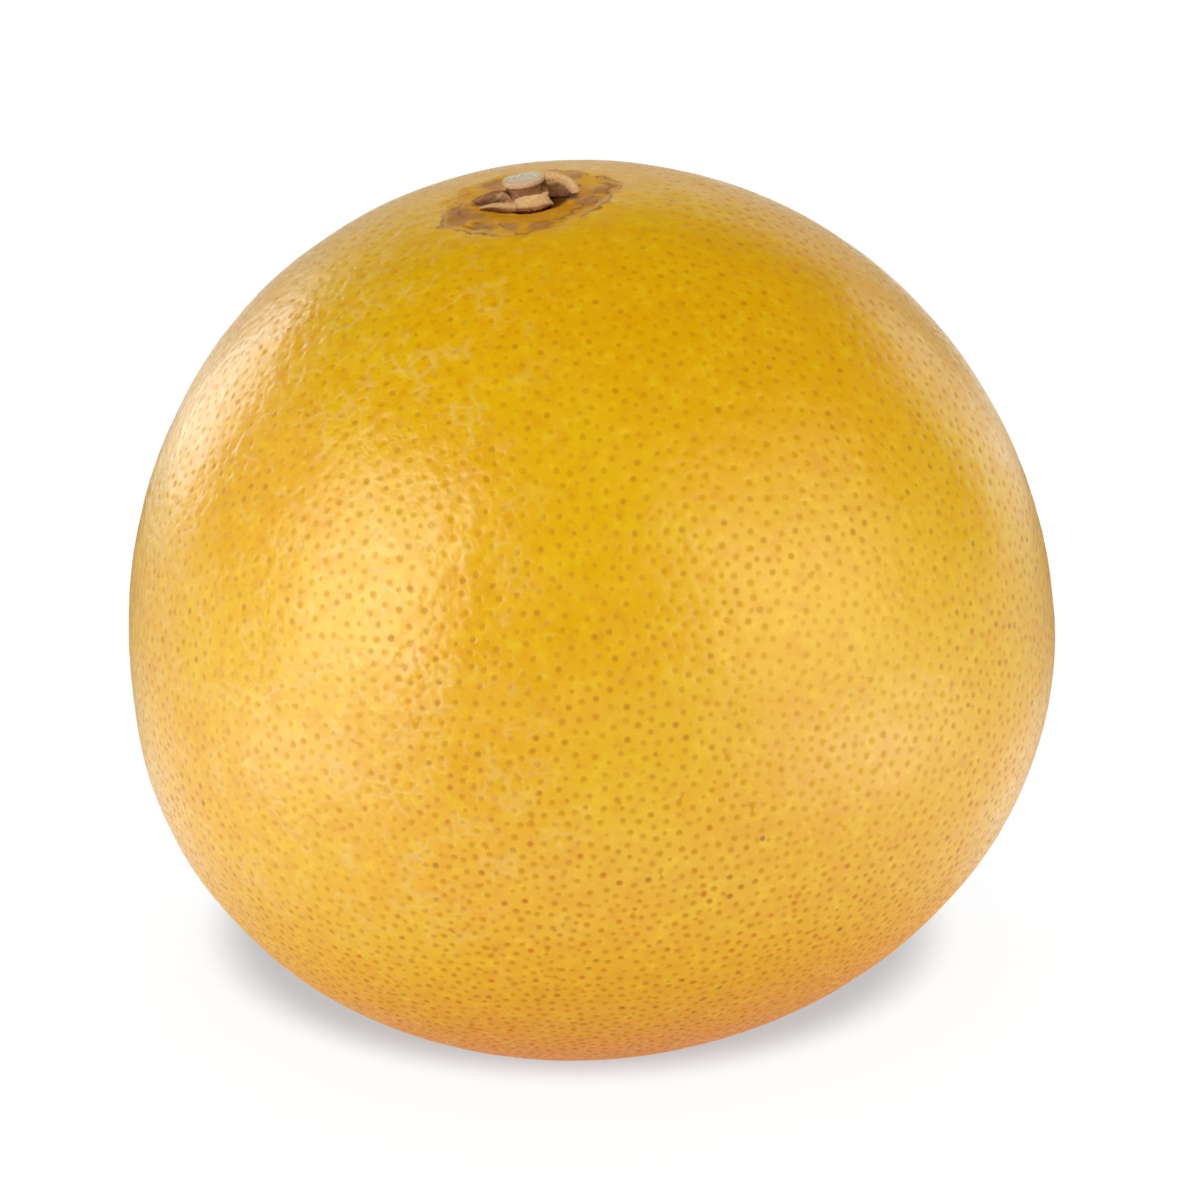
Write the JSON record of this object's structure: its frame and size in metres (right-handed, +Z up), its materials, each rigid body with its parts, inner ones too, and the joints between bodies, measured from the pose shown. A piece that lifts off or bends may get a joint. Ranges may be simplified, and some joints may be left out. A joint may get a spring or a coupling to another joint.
{
  "type": "grapefruit",
  "caption": "Whole ripe grapefruit with pitted yellow peel, a dry woody calyx and the cut stub of its stalk, resting on a small flat spot.",
  "frame": {"origin": "on the resting plane, below the middle of the fruit's width and depth", "axes": "+Z up from the flat spot it rests on, -Y towards the front, +X to the right; the stem end is up and leans a little to -X and -Y"},
  "size_m": [0.11, 0.107, 0.1081],
  "materials": {
    "peel": "waxy yellow citrus peel with fine darker oil pits and a soft broad gloss",
    "dry_calyx": "dry, matt, brown and cream woody sepals",
    "cut_stalk": "dry cut stalk with a pale rim and a grey-green speckled face"
  },
  "bodies": {
    "root": {"fruit": "peel", "calyx": "dry_calyx", "stem_stub": "cut_stalk"}
  },
  "joints": []
}
